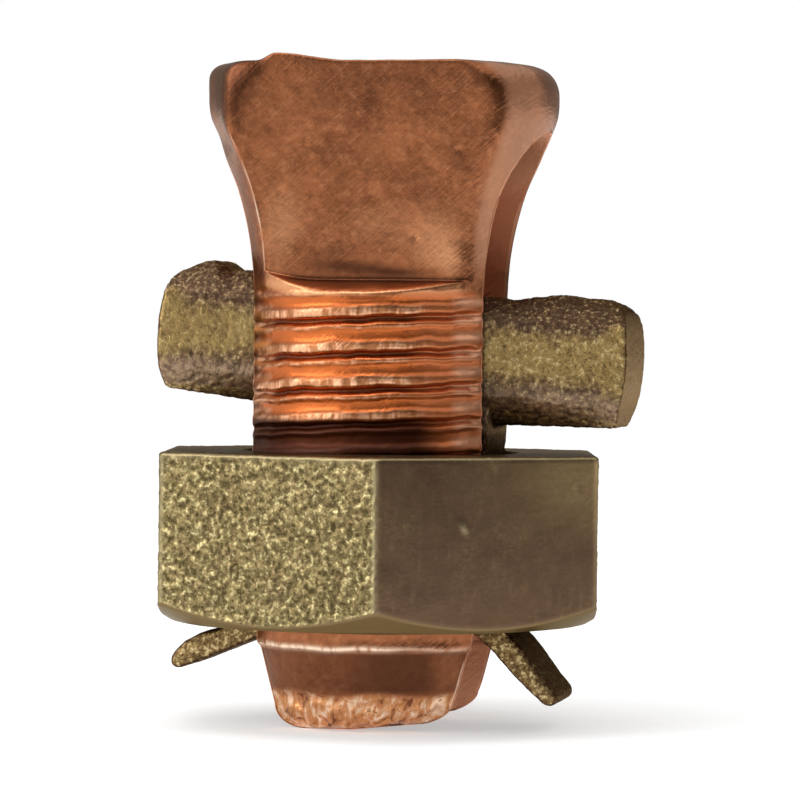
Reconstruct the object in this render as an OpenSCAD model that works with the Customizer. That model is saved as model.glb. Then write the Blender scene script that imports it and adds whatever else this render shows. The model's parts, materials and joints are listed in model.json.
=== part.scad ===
// Split bolt connector: a slotted copper bolt, a hexagon nut and a pressure bar that the nut carries.
// The bolt's axis is Z and its leg ends stand on z = 0. The slot, the wires and the bar run along X.
// Millimetres, drawn with the nut part of the way up the thread.

/* [Split bolt] */
// Height of the bolt, from the leg ends to the top of the head
bolt_h = 24.5; // [21:0.1:34]
// Outside diameter of the threaded shank
thread_d = 10; // [8.4:0.1:12]
// Width of the slot between the two legs
slot_w = 5; // [3.6:0.1:5.6]
// Thickness of the head over the wire seat
crown_t = 2.4; // [1.6:0.1:4]

/* [Bolt head] */
// Diameter of the head across its two ears
head_d = 13.1; // [12.4:0.1:16]
// Drop from the top of the head to its widest place
ear_drop = 1.25; // [1.1:0.05:3]
// Radius of the hollow flare under the ears
flare_r = 14; // [7:0.5:18]
// Radius of the rounded ears
ear_r = 4.25; // [2.5:0.25:5]
// Radius of the head's top edge
top_edge_r = 1; // [0.4:0.1:1.1]
// Distance between the two pressed flats at their foot
flats_w = 6.7; // [6.2:0.1:7.4]
// Lean of each flat outwards, from its foot to the top of the head
flats_draft = 5.5; // [0:0.5:7]
// Height of the flats below the top of the head
flats_h = 8; // [6:0.05:10]
// Height of the sloping shelf at the foot of each flat
shelf_h = 0.62; // [0.3:0.02:1]
// Height of the lip that pressing the front flat raised at its -X corner
lip_h = 0.28; // [0.1:0.02:0.5]
// Distance of the lip's crest from the bolt's axis, along X
lip_x = 3.2; // [2.4:0.1:3.6]
// Length of the lip's slope on the outer side of its crest
lip_out = 0.75; // [0.4:0.05:1]
// Length of the lip's slope on the inner side of its crest
lip_in = 1.6; // [0.8:0.1:2.4]
// Width of the lip back from the front flat
lip_w = 1.2; // [0.6:0.1:2]

/* [Leg ends] */
// Length of the plain point below the thread
point_l = 3.2; // [2:0.1:4]
// Diameter of the point next to the thread
point_d = 9.4; // [8:0.1:9.6]
// Diameter of the point just above its rounded end
point_end_d = 8.4; // [7:0.05:8.9]
// Radius of the point's rounded end
point_r = 0.9; // [0.4:0.1:1.2]

/* [Hexagon nut] */
// Width of the nut across its flats
nut_af = 16; // [14.5:0.1:20]
// Height of the nut
nut_h = 6.3; // [4.5:0.1:8]
// Height of the nut's underside above the leg ends
nut_z = 3.9; // [3.5:0.1:6]
// Turn of the nut about the bolt
nut_turn = -19; // [-30:1:30]
// Room between the nut's bore and the thread
thread_clear = 0.15; // [0.1:0.05:0.3]
// Depth of the countersink under the nut
sink = 1.1; // [1:0.05:1.5]
// Width of the bare rim between the flats and the round face below
face_inset = 0.2; // [0.1:0.05:0.6]
// Slope of the nut's corner chamfer
corner_slope = 30; // [20:1:40]

/* [Pressure bar] */
// Length of the bar over its rounded ends
bar_l = 17.7; // [15:0.1:22]
// Diameter of the bar's round sides
bar_d = 5.5; // [5:0.1:6.4]
// Height of the bar above its centre line
bar_top = 2.45; // [2:0.05:2.6]
// Depth of the bar below its centre line, at the prongs
keel_depth = 2.55; // [2.4:0.05:2.7]
// Depth of the bar below its centre line, at its ends
end_depth = 2.2; // [1.8:0.05:2.4]
// Sag of the hollow along the bar's top
top_sag = 0.3; // [0.1:0.05:0.6]
// Length of the hollow along the bar's top
top_hollow_l = 12.6; // [9:0.1:14]
// Radius of the rounded face on each end
end_r = 7.5; // [5:0.5:12]
// Radius of the top corner at each end
end_corner_r = 1.3; // [0.5:0.1:1.8]
// Room between the bar and each wall of the slot
slot_clear = 0.15; // [0.1:0.05:0.3]
// Gap between the nut and the bar's keel
bar_gap = 1.3; // [0.9:0.05:1.6]
// Lean of the loose bar, its +X end down
bar_lean = 4.3; // [0:0.1:5]

/* [Prongs] */
// Thickness of each prong
prong_t = 1.1; // [0.7:0.05:1.2]
// How far the prongs' outer faces stand inside the thread's radius
prong_inset = 1.1; // [1:0.05:2.2]
// Room between the prongs' edges and each wall of the slot
prong_clear = 0.45; // [0.3:0.05:0.8]
// Radius of the bend along the middle of the prong
bend_r = 0.9; // [0.7:0.05:1.2]
// Height of the bend's start above the nut's underside, on the -X side
bend_start_left = 0.55; // [0.3:0.05:0.8]
// Height of the bend's start above the nut's underside, on the +X side
bend_start_right = 1.35; // [0.3:0.05:1.7]
// Length of the straight splayed end, on the -X side
tang_l_left = 3.6; // [2:0.1:5]
// Length of the straight splayed end, on the +X side
tang_l_right = 4.3; // [2:0.1:5]
// Angle of the splayed end below the bar's length, on the -X side
tang_drop_left = 30; // [29:1:50]
// Angle of the splayed end below the bar's length, on the +X side
tang_drop_right = 40; // [30:1:50]
// Radius of each splayed end's round tip
tang_tip_r = 0.33; // [0.2:0.01:0.4]

/* [Hidden] */

$fn = 96;
cut = 1;

copper = "#b86a42";
bronze = "#8c7f52";
brass = "#a3945a";

// Bolt, worked out
thread_r = thread_d / 2;
head_r = head_d / 2;
head_out = head_r - thread_r;
ear_z = bolt_h - ear_drop;
blend_r = flare_r + ear_r;
flare_z = ear_z - sqrt(blend_r * blend_r - pow(blend_r - head_out, 2));
flare_centre = [thread_r + flare_r, flare_z];
ear_centre = [head_r - ear_r, ear_z];
flats_z = bolt_h - flats_h;
flats_top = flats_w / 2 + flats_h * tan(flats_draft);
seat_r = slot_w / 2;
seat_z = bolt_h - crown_t - seat_r;
thread_start = thread_r - point_d / 2;

// Nut, worked out
bore_r = thread_r + thread_clear;
nut_corner_r = nut_af / 2 / cos(30);
nut_face_r = nut_af / 2 - face_inset;
chamfer_h = (nut_corner_r + cut - nut_face_r) * tan(corner_slope);

// Pressure bar, worked out. Its own frame starts on the bolt's axis at the nut's underside.
bar_w = slot_w - 2 * slot_clear;
bar_z = nut_h + bar_gap + keel_depth;
hollow_r = (pow(top_hollow_l / 2, 2) + top_sag * top_sag) / (2 * top_sag);
end_back = end_r - sqrt(end_r * end_r - keel_depth * keel_depth);
prong_x = thread_r - prong_inset - prong_t / 2;
prong_w = slot_w - 2 * prong_clear;

// Points along an arc of radius r about c, from angle a0 to angle a1
arc_steps = 12;
function arc(c, r, a0, a1) =
    [for (i = [0:arc_steps]) let (a = a0 + (a1 - a0) * i / arc_steps) c + r * [cos(a), sin(a)]];

// Half of the bolt's outline, from the axis outwards, before the slot and the flats are cut
module bolt_outline() {
    // Point with a rounded end
    polygon([
        [0, point_r], [point_end_d / 2, point_r], [point_d / 2, point_l],
        [thread_r, point_l + thread_start], [0, point_l + thread_start]
    ]);
    square([point_end_d / 2 - point_r, point_r]);
    intersection() {
        square([point_end_d / 2, point_r]);
        translate([point_end_d / 2 - point_r, point_r]) circle(point_r);
    }

    // Threaded shank
    translate([0, point_l + thread_start]) square([thread_r, flare_z - point_l - thread_start]);

    // Hollow flare that runs out into the rounded ears, on the line through the two arcs' centres
    difference() {
        polygon([[0, flare_z], flare_centre, ear_centre, [0, ear_z]]);
        translate(flare_centre) circle(flare_r);
    }
    intersection() {
        polygon([ear_centre, flare_centre, [flare_centre[0], ear_z]]);
        translate(ear_centre) circle(ear_r);
    }

    // Top of the head with its rounded edge
    translate([0, ear_z]) square([head_r, ear_drop - top_edge_r]);
    translate([0, ear_z]) square([head_r - top_edge_r, ear_drop]);
    intersection() {
        translate([0, bolt_h - top_edge_r]) square([head_r, top_edge_r]);
        translate([head_r - top_edge_r, bolt_h - top_edge_r]) circle(top_edge_r);
    }
}

// Lip on the head's top, along the front flat
module forging_lip() {
    translate([-lip_x, lip_w - flats_top, bolt_h])
        rotate([90, 0, 0])
            linear_extrude(height = lip_w + cut)
                polygon([[-lip_out, -lip_h], [-lip_out, 0], [0, lip_h], [lip_in, 0], [lip_in, -lip_h]]);
}

// Material pressed away in front of one flat, with the sloping shelf at its foot
module flat_cut() {
    shelf_run = thread_r - flats_w / 2;
    reach = head_r + cut;
    rotate([90, 0, 90])
        linear_extrude(height = 2 * reach, center = true)
            polygon([
                [flats_top + cut * tan(flats_draft), bolt_h + cut],
                [flats_w / 2, flats_z],
                [reach, flats_z - shelf_h * (reach - flats_w / 2) / shelf_run],
                [reach, bolt_h + cut]
            ]);
}

// Slot from the leg ends up to the round wire seat
module wire_slot() {
    length = 2 * (head_r + cut);
    translate([-length / 2, -slot_w / 2, -cut]) cube([length, slot_w, seat_z + cut]);
    translate([0, 0, seat_z]) rotate([0, 90, 0]) cylinder(h = length, r = seat_r, center = true);
}

// Bolt: bell head with two flats, slotted shank, turned points
module split_bolt() {
    color(copper)
        difference() {
            union() {
                rotate_extrude() bolt_outline();
                forging_lip();
            }
            flat_cut();
            mirror([0, 1, 0]) flat_cut();
            wire_slot();
        }
}

// Bar's side view: rounded ends and top corners, a hollow top, and a keel that rises to both ends
module bar_side() {
    half_l = bar_l / 2;
    corner_x = half_l - end_corner_r;
    corner_z = bar_top - end_corner_r;
    difference() {
        intersection() {
            union() {
                polygon([
                    [-half_l, -end_depth], [-prong_x, -keel_depth], [prong_x, -keel_depth],
                    [half_l, -end_depth], [half_l, corner_z], [-half_l, corner_z]
                ]);
                translate([-corner_x, 0]) square([2 * corner_x, bar_top]);
                for (side = [-1, 1])
                    translate([side * corner_x, corner_z]) circle(end_corner_r);
            }
            union() {
                square([bar_l - 2 * end_back, 2 * (keel_depth + cut)], center = true);
                for (side = [-1, 1])
                    translate([side * (half_l - end_r), 0]) circle(end_r);
            }
        }
        translate([0, bar_top - top_sag + hollow_r]) circle(hollow_r);
    }
}

// Bar across the slot: round above and below, flat where it runs along the slot's walls
module bar_body() {
    intersection() {
        rotate([0, 90, 0]) cylinder(h = bar_l + cut, d = bar_d, center = true);
        rotate([90, 0, 0]) linear_extrude(height = bar_w, center = true) bar_side();
    }
}

// Prong on the +X side: down through the nut, a bend outwards, a tapered end with a round tip
module prong(bend_start, tang_l, tang_drop) {
    turn = 90 - tang_drop;
    half_t = prong_t / 2;
    bend = [prong_x + bend_r, bend_start];
    along = [cos(tang_drop), -sin(tang_drop)];
    tip = bend - bend_r * [cos(turn), sin(turn)] + tang_l * along;
    rotate([90, 0, 0])
        linear_extrude(height = prong_w, center = true)
            polygon(concat(
                [[prong_x - half_t, bar_z]],
                arc(bend, bend_r + half_t, 180, 180 + turn),
                arc(tip, tang_tip_r, -tang_drop - 90, -tang_drop + 90),
                arc(bend, bend_r - half_t, 180 + turn, 180),
                [[prong_x + half_t, bar_z]]
            ));
}

// Pressure bar: crosses the slot above the nut, with two prongs splayed under the nut
module pressure_bar() {
    color(bronze)
        translate([0, 0, nut_z])
            rotate([0, bar_lean, 0]) {
                translate([0, 0, bar_z]) bar_body();
                prong(bend_start_right, tang_l_right, tang_drop_right);
                mirror([1, 0, 0]) prong(bend_start_left, tang_l_left, tang_drop_left);
            }
}

// Half of the nut's turned outline: a cone takes the corners off below
module nut_turned() {
    polygon([
        [0, 0], [nut_face_r, 0], [nut_corner_r + cut, chamfer_h], [nut_corner_r + cut, nut_h], [0, nut_h]
    ]);
}

// Nut: hexagon with a flat top and turned corners below, bored to run on the thread
module hex_nut() {
    color(brass)
        translate([0, 0, nut_z])
            rotate([0, 0, nut_turn])
                difference() {
                    intersection() {
                        cylinder(h = nut_h, r = nut_corner_r, $fn = 6);
                        rotate_extrude() nut_turned();
                    }
                    translate([0, 0, -cut]) cylinder(h = nut_h + 2 * cut, r = bore_r);
                    translate([0, 0, -cut])
                        cylinder(h = sink + cut, r1 = bore_r + sink + cut, r2 = bore_r);
                }
}

split_bolt();
pressure_bar();
hex_nut();
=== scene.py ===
import json
import math

import bmesh
import bpy
import numpy as np
from mathutils import Matrix, Vector


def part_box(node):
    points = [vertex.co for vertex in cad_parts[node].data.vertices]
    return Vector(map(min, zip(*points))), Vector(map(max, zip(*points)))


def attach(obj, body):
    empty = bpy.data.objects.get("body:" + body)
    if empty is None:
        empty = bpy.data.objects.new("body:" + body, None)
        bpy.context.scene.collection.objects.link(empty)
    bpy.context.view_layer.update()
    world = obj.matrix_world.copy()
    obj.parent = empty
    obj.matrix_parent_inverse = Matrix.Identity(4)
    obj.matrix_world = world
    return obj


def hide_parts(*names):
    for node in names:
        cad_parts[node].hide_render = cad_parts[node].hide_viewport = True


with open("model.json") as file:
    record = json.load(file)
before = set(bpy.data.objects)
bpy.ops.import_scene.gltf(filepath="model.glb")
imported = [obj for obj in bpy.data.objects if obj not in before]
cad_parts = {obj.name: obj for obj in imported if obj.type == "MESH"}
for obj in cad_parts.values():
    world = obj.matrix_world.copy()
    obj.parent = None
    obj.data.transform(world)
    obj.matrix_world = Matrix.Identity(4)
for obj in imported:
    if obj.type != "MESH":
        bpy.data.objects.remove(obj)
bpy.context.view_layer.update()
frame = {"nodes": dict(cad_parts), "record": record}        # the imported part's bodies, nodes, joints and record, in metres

# Split bolt
# One piece of copper, cold forged: a bell head with two pressed flats, a slot for the wires that ends
# in a round seat, a rolled thread on both legs and a plain point below it. Brown, satin and scratched.
mm = 0.001
wire_seat = next(m for m in frame["record"]["mounts"] if m["name"] == "wire_seat")
slot_half = wire_seat["dims"]["r_mm"] * mm
seat_z = wire_seat["pos_m"][2]
bolt_low, bolt_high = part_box("split_bolt")
lip_h = 0.28 * mm
bolt_top = bolt_high.z - lip_h
thread_r = bolt_high.y
head_r = bolt_high.x
ear_drop = 1.25 * mm
flare_r = 14 * mm
ear_r = 4.25 * mm
left_top_round = 0.55 * mm
right_top_round = 1 * mm
flats_half = 3.35 * mm
flats_draft = math.radians(5.5)
flats_h = 8 * mm
shelf_h = 0.62 * mm
point_l = 3.2 * mm
point_top_r = 4.7 * mm
point_end_r = 4.2 * mm
point_round = 0.9 * mm
thread_start_l = 1.3 * mm
foot_rise = 0.35 * mm
foot_start = 1.5 * mm
foot_run = 2.3 * mm
flat_top_round = 0.12 * mm
left_edge_soft = 0.12 * mm
right_edge_soft = 0.55 * mm
edge_softens_z = (21 * mm, 23 * mm)
shelf_soft = 0.12 * mm
slot_edge_round = 0.05 * mm

ear_z = bolt_top - ear_drop
flats_z = bolt_top - flats_h
thread_z = point_l + thread_start_l
blend_r = flare_r + ear_r
flare_rise = math.sqrt(blend_r ** 2 - (blend_r - head_r + thread_r) ** 2)
flare_z = ear_z - flare_rise
join_z = flare_z + flare_rise * flare_r / blend_r


def drawn_in(z, start, radius):
    """How far a quarter round of this radius has drawn in at height z, going up from start."""
    rise = np.clip((z - start) / radius, 0, 1)
    return radius * (1 - np.sqrt(1 - rise ** 2))


def smooth_min(a, b, soft):
    """The smaller of a and b, with the edge between them rounded over a width of about soft."""
    share = np.clip(0.5 + 0.5 * (b - a) / soft, 0, 1)
    return b + (a - b) * share - soft * share * (1 - share)


def bolt_radius(z):
    """Outside radius of the bolt at height z, before the flats, the slot and the round top edge."""
    point = point_end_r + (point_top_r - point_end_r) * (z - point_round) / (point_l - point_round)
    flare = thread_r + flare_r - np.sqrt(flare_r ** 2 - np.clip(z - flare_z, 0, flare_rise) ** 2)
    ear = head_r - ear_r + np.sqrt(ear_r ** 2 - np.clip(ear_z - z, 0, ear_r) ** 2)
    return np.select(
        [z < point_round, z < point_l, z < thread_z, z < join_z],
        [
            point_end_r - drawn_in(-z, -point_round, point_round),
            point,
            point_top_r + (thread_r - point_top_r) * (z - point_l) / thread_start_l,
            flare,
        ],
        ear,
    )


def flat_foot(x):
    """Height of the foot of the flats, which climbs in a round towards their left edge."""
    return flats_z + foot_rise * np.clip((-foot_start - x) / foot_run, 0, 1) ** 2


def bolt_flat(z, foot):
    """Distance of the pressed flat from the bolt's axis at height z: it swells out over the shelf."""
    flat = flats_half + (z - flats_z) * math.tan(flats_draft)
    climb = 1 - (foot - z) / shelf_h
    swell = (1 - np.clip(climb, 0, 1) ** 1.5) ** (2 / 3)
    swell = swell + np.clip(-climb, 0, None) - np.clip(climb - 1, 0, None)
    shelf = flats_half + (thread_r - flats_half) * swell
    return -smooth_min(-flat, -shelf, shelf_soft) - drawn_in(z, bolt_top - flat_top_round, flat_top_round)


def slot_gap(z):
    """Half the slot's width at height z. It closes round the wire seat."""
    return np.sqrt(np.clip(slot_half ** 2 - np.clip(z - seat_z, 0, None) ** 2, 0, None))


def steps(low, high, size):
    """Even steps of about this size from low up to, but not including, high."""
    return np.linspace(low, high, round((high - low) / size) + 1)[:-1]


def ramp(values, low, high):
    """0 up to low, 1 from high on and a smooth rise between them. Low may be above high."""
    share = np.clip((values - low) / (high - low), 0, 1)
    return share * share * (3 - 2 * share)


def hump(values, centre, width):
    """A smooth hump of height 1 at the centre, which is down to a third at this width."""
    return np.exp(-((values - centre) / width) ** 2)


# Rows of points stand close at the rolled lip, along the thread and on the shelf
pitch = 1.27 * mm
rows_a_pitch = 18
lip_z = 3.08 * mm
lip_reach = 0.25 * mm
plain_step = 0.1 * mm
fine_step = 0.04 * mm
start_step = 0.06 * mm
crown_step = 0.12 * mm
quarter = np.linspace(0, math.pi / 2, 15)
seat_turn = np.linspace(0, math.pi / 2, 25)
row_z = np.concatenate([
    point_round * (1 - np.cos(quarter))[:-1],
    steps(point_round, lip_z - lip_reach, plain_step),
    steps(lip_z - lip_reach, point_l, fine_step),
    steps(point_l, thread_z, start_step),
    steps(thread_z, flats_z - shelf_h, pitch / rows_a_pitch),
    steps(flats_z - shelf_h, flats_z + foot_rise, fine_step),
    steps(flats_z + foot_rise, seat_z, plain_step),
    seat_z + slot_half * np.sin(seat_turn)[:-1],
    steps(seat_z + slot_half, bolt_top - right_top_round, crown_step),
    bolt_top - right_top_round + right_top_round * np.sin(quarter),
])
seat_rows = int(np.searchsorted(row_z, seat_z + slot_half - 1e-9)) + 1
# Where points stand across a flat, a flank and a leg's inner face: closest at the edges
flat_share = np.concatenate([[-0.994, -0.975], np.linspace(-0.95, 0.95, 71), [0.975, 0.994]])
flank_share = np.concatenate([[0, 0.02], np.linspace(0.06, 0.955, 17), [0.985, 1]])
inner_share = np.concatenate([[-1, -0.985], np.linspace(-0.96, 0.96, 11), [0.985, 1]])
cap_rows = 44

# Columns of points follow the flats' edges up the head, so that these edges stay crisp
z = row_z[:, None]
radius = bolt_radius(row_z)[:, None]
gap = slot_gap(z)
half_turn = np.arccos(np.clip(gap / radius, 0, 1))
flat_line = flats_half + np.clip(z - flats_z, 0, None) * math.tan(flats_draft)
edge_turn = np.minimum(np.arccos(flat_line / np.maximum(radius, thread_r)), 0.8 * half_turn)
flank_turn = edge_turn + (half_turn - edge_turn) * flank_share
turn = np.concatenate([-flank_turn[:, ::-1], edge_turn * flat_share, flank_turn], axis=1)
to_right = 0.5 + 0.5 * np.sin(turn)
top_round = left_top_round + (right_top_round - left_top_round) * to_right
rounded = radius - drawn_in(z, bolt_top - top_round, top_round)
edge_soft = left_edge_soft + (right_edge_soft - left_edge_soft) * to_right ** 2
edge_soft = edge_soft * (1 + ramp(z, *edge_softens_z))
sideways = rounded * np.sin(turn)
outer = np.stack([
    sideways,
    -smooth_min(rounded * np.cos(turn), bolt_flat(z, flat_foot(sideways)), edge_soft),
    z + 0 * turn,
], axis=-1)
across = radius * np.sin(half_turn) * inner_share
inner = np.stack([across, -gap + 0 * across, z + 0 * across], axis=-1)[:seat_rows]
slot_rows = row_z < seat_z
for grid in (outer, inner):
    cut_back = slot_edge_round * slot_rows[:len(grid)]
    for column, inward in ((0, 1), (-1, -1)):
        grid[:, column, 0] += inward * cut_back
        grid[:, column, 1] -= cut_back
cap = np.stack([outer[-1] * (1, share, 1) for share in np.linspace(1, -1, cap_rows + 1)])


def grid_quads(rows, columns, first):
    """Quads of a grid of points that is numbered row by row from first."""
    corner = first + np.arange(rows - 1)[:, None] * columns + np.arange(columns - 1)
    return np.stack([corner, corner + 1, corner + columns + 1, corner + columns], axis=-1).reshape(-1, 4)


def piece_from_grids(name, grids, weld=1e-6):
    """One closed mesh object from grids of points that meet at their borders."""
    points = np.concatenate([g.reshape(-1, 3) for g in grids])
    starts = np.cumsum([0] + [g.shape[0] * g.shape[1] for g in grids])
    quads = np.concatenate([grid_quads(g.shape[0], g.shape[1], s) for g, s in zip(grids, starts)])
    mesh = bpy.data.meshes.new(name)
    mesh.from_pydata(points.tolist(), [], quads.tolist())
    shape = bmesh.new()
    shape.from_mesh(mesh)
    bmesh.ops.remove_doubles(shape, verts=shape.verts, dist=weld)
    bmesh.ops.dissolve_degenerate(shape, edges=shape.edges, dist=weld / 10)
    bmesh.ops.holes_fill(shape, edges=[e for e in shape.edges if e.is_boundary])
    bmesh.ops.triangulate(shape, faces=[f for f in shape.faces if len(f.verts) > 4])
    bmesh.ops.recalc_face_normals(shape, faces=shape.faces)
    shape.to_mesh(mesh)
    shape.free()
    mesh.shade_smooth()
    piece = bpy.data.objects.new(name, mesh)
    bpy.context.scene.collection.objects.link(piece)
    return piece


def points_of(piece):
    """The piece's points as an array of rows x, y, z."""
    points = np.empty(len(piece.data.vertices) * 3)
    piece.data.vertices.foreach_get("co", points)
    return points.reshape(-1, 3)


def move_points(piece, points):
    """Puts the piece's points at these places."""
    piece.data.vertices.foreach_set("co", points.ravel())
    piece.data.update()


def store(piece, name, values):
    """Keeps one number a point on the mesh, for the node trees and the material to read."""
    kept = piece.data.attributes.new(name, "FLOAT", "POINT")
    kept.data.foreach_set("value", np.asarray(values, dtype=np.float32))


def push_out(x, y, amount, core=0.1 * mm):
    """Moves places out from the bolt's axis by these amounts. Within the core they hardly move."""
    from_axis = np.hypot(x, y).clip(core)
    x += x / from_axis * amount
    y += y / from_axis * amount


back = np.array([1, -1, 1])
bolt = piece_from_grids("bolt", [outer, inner, outer * back, inner * back, cap])
x, y, z = points_of(bolt).T
from_axis = np.hypot(x, y)
on_front = ramp(y, -1 * mm, -2 * mm)
slot_width = slot_gap(z)
in_slot = ramp(np.abs(y), slot_width + 0.1 * mm, slot_width + 0.03 * mm)
in_slot *= z < seat_z + slot_half + 0.01 * mm

# Forging marks: a lip that the press raised over the front flat's left corner, corners of the flats
# that fall back, a burr down the flats' left edges, a hollow drawn in under each ear and small dents
lip_x = -3.2 * mm
lip_w = 1.2 * mm
lip_left_run = 0.75 * mm
lip_right_run = 2.6 * mm
lip_root = 0.5 * mm
lip_slope = np.where(x < lip_x, (x - lip_x) / lip_left_run, (lip_x - x) / lip_right_run)
flats_top = flats_half + flats_h * math.tan(flats_draft)
lip = lip_h * ramp(lip_slope, -1, 0)
lip *= ramp(y, lip_w - flats_top, -flats_top) * ramp(z, bolt_top - lip_root, bolt_top)
fall_start = 0.5 * mm
fall_blend = 0.7 * mm
fall_z = (21.4 * mm, 22.9 * mm)
shade_at = 0.2 * mm
fallen = np.zeros_like(x)
corner_shade = np.zeros_like(x)
# A corner: its side, the middle of its round across and up and its radius in mm, and its slope
for side, corner_x, corner_z, corner_r, slope in [(-1, 3.3, 22.7, 1.35, 0.28), (1, 3.6, 22.5, 1.45, 0.5)]:
    past_x = np.clip(side * x - corner_x * mm, 0, None)
    past_z = np.clip(z - corner_z * mm, 0, None)
    past = np.hypot(past_x, past_z) - corner_r * mm
    deep = np.clip(past, 0, None)
    at_side = ramp(past_x, 0, fall_blend)
    fall = np.where(deep < fall_start, deep ** 2 / (2 * fall_start), deep - fall_start / 2)
    fallen += slope * at_side * fall
    # Painted shade where a corner falls back, broader past the left one
    shade_w = np.where((past > 0) & (side < 0), 1.2, 0.42) * mm
    corner_shade += at_side * hump(past, shade_at, shade_w)
near_top = ramp(z, *fall_z)
fallen *= near_top * ramp(np.abs(y), 1.5 * mm, 3.6 * mm)
corner_shade *= near_top * ramp(np.abs(y), 2.6 * mm, 3.5 * mm)
flat_here = bolt_flat(np.minimum(z, bolt_top - flat_top_round), flat_foot(x))
flat_edge = np.sqrt(np.clip(bolt_radius(z) ** 2 - flat_here ** 2, 0, None))
burr_h = 0.06 * mm
burr_w = 0.055 * mm
burr_ends_z = (22.6 * mm, 21 * mm)
burr_wave = 0.65 + 0.35 * np.sin(z / (0.31 * mm)) * np.sin(z / (0.83 * mm) + 1)
burr = burr_wave * hump(-x, flat_edge, burr_w) * ramp(z, flats_z, flats_z + 0.3 * mm)
burr *= ramp(np.abs(y), flat_here - 0.5 * mm, flat_here - 0.2 * mm) * ramp(z, *burr_ends_z)
hollow_z = 21.75 * mm
hollow_h = 0.65 * mm
right_hollow = 0.1 * mm
left_hollow = 0.17 * mm
under_ear = right_hollow + (left_hollow - right_hollow) * ramp(x, 0, -4 * mm)
under_ear *= hump(z, hollow_z, hollow_h) * ramp(from_axis, 5.2 * mm, 5.7 * mm)
under_ear *= ramp(np.abs(y), flat_here - 0.1 * mm, flat_here - 0.7 * mm)
push_out(x, y, -under_ear)
# A dent: its place across and up, its depth and its width, in mm
dents = [
    (-3.1, 19.7, 0.05, 0.16), (1.9, 18.1, 0.05, 0.14), (-1.2, 21.9, 0.03, 0.2), (2.6, 20.6, 0.05, 0.15),
    (0.4, 19.6, 0.04, 0.28), (-2.3, 23.6, 0.03, 0.25), (3.6, 21.2, 0.05, 0.13), (-0.9, 17.9, 0.04, 0.3),
]
dented = sum(
    deep * mm * hump(x, at_x * mm, wide * mm) * hump(z, at_z * mm, wide * mm)
    for at_x, at_z, deep, wide in dents
) * ramp(np.abs(y), 3 * mm, 3.3 * mm)
y += np.sign(y) * (burr_h * burr - fallen - dented)
z += lip

# Leg ends: a rolled lip where the thread starts, and a hammered end that was broken off at a slant
rolled_lip_h = 0.1 * mm
raw_full_z = 1.2 * mm
slant = math.radians(6.3)
slant_x = -0.4 * mm
slant_top = 1.6 * mm
lip_wave = (0.025 * np.sin(x / (0.8 * mm)) + 0.02 * np.sin(x / (0.33 * mm) + 1)) * mm
above_lip = z - lip_z - lip_wave
outside = ramp(from_axis, 4.3 * mm, 4.5 * mm)
rolled_lip = rolled_lip_h * outside * hump(above_lip, 0, np.where(above_lip < 0, 0.08, 0.3) * mm)
lip_glint_line = outside * hump(above_lip, 0.03 * mm, 0.1 * mm)
push_out(x, y, rolled_lip)
raw_top = (1.5 + 0.12 * np.sin(x / (0.5 * mm))) * mm
raw_end = ramp(z, raw_top, raw_full_z)
z += np.clip(x - slant_x, 0, None) * math.tan(slant) * ramp(z, slant_top, 0)
move_points(bolt, np.stack([x, y, z], axis=-1))

# What the thread and the material need to know of each place. The painted shade above the nut, a dark band
# that stands in for the nut's dark reflection in the thread, fades out behind it, so that no ring shows
# where the nut is lower
nut_shade_starts_z = (6.8 * mm, 10 * mm)
nut_shade_ends_z = (11.55 * mm, 11.25 * mm)
on_round = ramp(from_axis, thread_r - 0.25 * mm, thread_r - 0.05 * mm)
leg_edge = ramp(np.abs(y), slot_half, slot_half + 0.6 * mm)
runs_out = ramp(z, flats_z - 0.15 * mm, flats_z - shelf_h - 0.3 * mm)
starts = ramp(z, thread_z - 0.25 * mm, thread_z + 0.2 * mm)
threaded = on_round * runs_out * starts
front_right = on_front * ramp(x, 1.7 * mm, 2.8 * mm)
above_nut = ramp(z, *nut_shade_starts_z) * ramp(z, *nut_shade_ends_z)
half_turns = 2 * (z / pitch - np.arctan2(y, x) / (2 * math.pi))
patch = (0.5 + 0.5 * np.cos(2 * math.pi * half_turns)) * ramp(np.abs(x), 3.3 * mm, 3.7 * mm)
# Where the crests take painted highlight, most across the front's middle
shine = ramp(x, 3.0 * mm, 1.5 * mm) * ramp(x, -4.5 * mm, -3.9 * mm)
store(bolt, "thread", threaded * (0.25 + 0.75 * leg_edge))
# The slot's cut faces are rougher, and painted paler to stand in for light on them, less over the middle of
# the slot's height
deep_in_slot = ramp(z, 4 * mm, 6 * mm) * ramp(z, 19.5 * mm, 16.5 * mm)
store(bolt, "cut", in_slot * (1 - 0.6 * deep_in_slot))
store(bolt, "raw", raw_end)
store(bolt, "hammered", raw_end * ramp(np.abs(y), slot_half + 0.02 * mm, slot_half + 0.6 * mm))
store(bolt, "shine", np.where(y < 0, shine, 0.6) * (1 - above_nut))
# Painted highlight along the rolled lip, brightest on the left
store(bolt, "leg_lip", lip_glint_line * (1 - in_slot) * (0.35 + 0.65 * ramp(x, 2 * mm, 0.8 * mm)))
store(bolt, "patch", patch * threaded)
store(bolt, "dull", front_right * threaded)
store(bolt, "soot", above_nut * on_round * (1 - 0.95 * on_front * ramp(x, 2.2 * mm, 3.6 * mm)))
store(bolt, "scratched", 0.35 * ramp(z, flats_z, flats_z + 0.3 * mm))
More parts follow.
